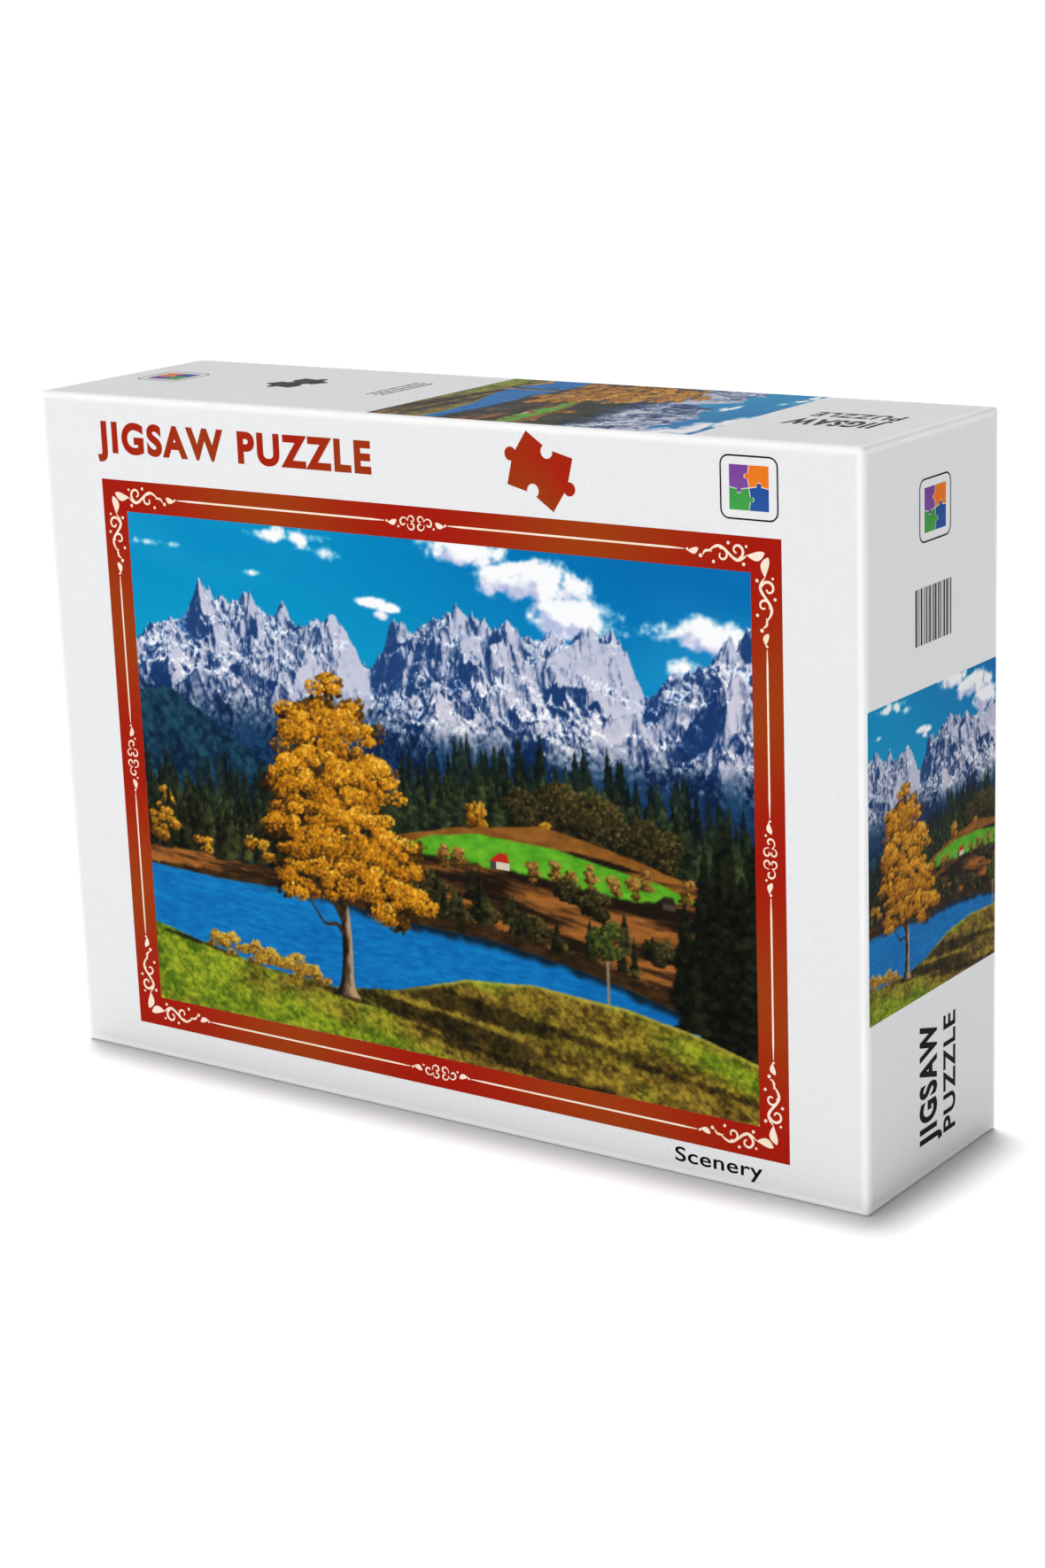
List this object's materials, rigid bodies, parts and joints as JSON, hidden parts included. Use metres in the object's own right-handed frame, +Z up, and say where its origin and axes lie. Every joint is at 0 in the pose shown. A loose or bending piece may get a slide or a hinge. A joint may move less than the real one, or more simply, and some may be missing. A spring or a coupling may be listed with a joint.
{
  "type": "boxed jigsaw puzzle",
  "caption": "Rigid two-piece board box standing on a long side, with a lift-off lid over a tray that holds film bags of loose jigsaw pieces and a folded poster.",
  "frame": {"origin": "middle of the face that the box stands on", "axes": "+X along the long side of the lid's big panel, -Y out of that panel, +Z up"},
  "size_m": [0.371, 0.099, 0.272],
  "materials": {
    "greyboard": "uncoated grey chipboard",
    "lid_paper": "satin coated printed paper",
    "tray_paper": "matt white paper",
    "stay_paper": "brown gummed kraft tape",
    "film": "clear thin film",
    "loose_pieces": "die-cut board pieces",
    "piece_board": "die-cut printed board",
    "poster_paper": "satin printed paper"
  },
  "bodies": {
    "tray": {"tray_board": "greyboard", "tray_wrap": "tray_paper", "tray_corner_stay_top_left": "stay_paper", "tray_corner_stay_top_right": "stay_paper", "tray_corner_stay_bottom_left": "stay_paper", "tray_corner_stay_bottom_right": "stay_paper", "piece_bag_left": "film", "piece_bag_right": "film", "loose_pieces_left": "loose_pieces", "loose_pieces_right": "loose_pieces", "puzzle_piece_01": "piece_board", "puzzle_piece_02": "piece_board", "puzzle_piece_03": "piece_board", "puzzle_piece_04": "piece_board", "puzzle_piece_05": "piece_board", "puzzle_piece_06": "piece_board", "puzzle_piece_07": "piece_board", "puzzle_piece_08": "piece_board", "puzzle_piece_09": "piece_board", "puzzle_piece_10": "piece_board", "puzzle_piece_11": "piece_board", "puzzle_piece_12": "piece_board", "puzzle_piece_13": "piece_board", "puzzle_piece_14": "piece_board", "puzzle_piece_15": "piece_board", "puzzle_piece_16": "piece_board", "puzzle_piece_17": "piece_board", "puzzle_piece_18": "piece_board", "puzzle_piece_19": "piece_board", "puzzle_piece_20": "piece_board", "reference_poster": "poster_paper"},
    "lid": {"lid_board": "greyboard", "lid_wrap": "lid_paper", "lid_corner_stay_top_left": "stay_paper", "lid_corner_stay_top_right": "stay_paper", "lid_corner_stay_bottom_left": "stay_paper", "lid_corner_stay_bottom_right": "stay_paper"}
  },
  "joints": [
    {"name": "lid_slide", "type": "slide", "parent": "tray", "child": "lid", "axis": [0, -1, 0], "range_m": [0, 0.24]}
  ]
}
